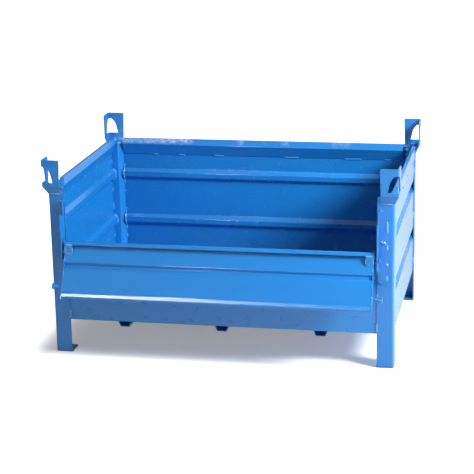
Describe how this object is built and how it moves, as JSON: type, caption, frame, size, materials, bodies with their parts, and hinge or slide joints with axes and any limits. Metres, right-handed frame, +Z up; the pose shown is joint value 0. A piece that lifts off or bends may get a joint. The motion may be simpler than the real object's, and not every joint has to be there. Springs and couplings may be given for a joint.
{
  "type": "stackable sheet steel container",
  "caption": "Stackable steel container with beaded sheet walls, half-height drop front, lifting ears, corner posts and fork clearance below.",
  "frame": {"origin": "centre of the footprint over the posts, on the ground under the foot plates", "axes": "+Z up, +X to the right along the length when facing the drop front, the drop front is on the -Y side, +Y towards the back wall"},
  "size_m": [1.232, 0.937, 0.7],
  "materials": {
    "post_coat": "gloss powder coat, fine orange peel",
    "base_coat": "gloss powder coat, scuffed",
    "ear_coat": "gloss powder coat over thick plate",
    "rim_coat": "gloss powder coat, small scuffs",
    "flap_coat": "gloss powder coat",
    "hardware_coat": "gloss powder coat over turned steel",
    "floor_coat": "gloss powder coat, dusty",
    "sheet_coat": "gloss powder coat, fine orange peel"
  },
  "bodies": {
    "frame": {"back_wall": "sheet_coat", "base_channel_centre": "base_coat", "base_channel_left": "base_coat", "base_channel_right": "base_coat", "corner_plate_rear_left": "sheet_coat", "corner_plate_rear_right": "sheet_coat", "floor_sheet": "floor_coat", "foot_plate_front_left": "base_coat", "foot_plate_front_right": "base_coat", "foot_plate_rear_left": "base_coat", "foot_plate_rear_right": "base_coat", "front_lower_panel": "sheet_coat", "guide_bracket_left": "hardware_coat", "guide_bracket_right": "hardware_coat", "lifting_ear_front_left": "ear_coat", "lifting_ear_front_right": "ear_coat", "lifting_ear_rear_left": "ear_coat", "lifting_ear_rear_right": "ear_coat", "post_front_left": "post_coat", "post_front_right": "post_coat", "post_rear_left": "post_coat", "post_rear_right": "post_coat", "rim_back": "rim_coat", "rim_left": "rim_coat", "rim_right": "rim_coat", "side_wall_left": "sheet_coat", "side_wall_right": "sheet_coat"},
    "hinge_pins": {"hinge_pin_left": "hardware_coat", "hinge_pin_right": "hardware_coat"},
    "flap": {"flap_end_plate_left": "flap_coat", "flap_end_plate_right": "flap_coat", "flap_hem_gusset_left": "flap_coat", "flap_hem_gusset_right": "flap_coat", "flap_hinge_bush_left": "flap_coat", "flap_hinge_bush_right": "flap_coat", "flap_panel": "flap_coat", "locking_stud_left": "hardware_coat", "locking_stud_right": "hardware_coat"}
  },
  "joints": [
    {"name": "flap_lift", "type": "slide", "parent": "frame", "child": "hinge_pins", "axis": [0, 0, 1], "range_m": [-0.016, 0.03]},
    {"name": "flap_hinge", "type": "hinge", "parent": "hinge_pins", "child": "flap", "pos_m": [0, -0.425, 0.392], "axis": [-1, 0, 0], "range_deg": [0, 151]}
  ]
}
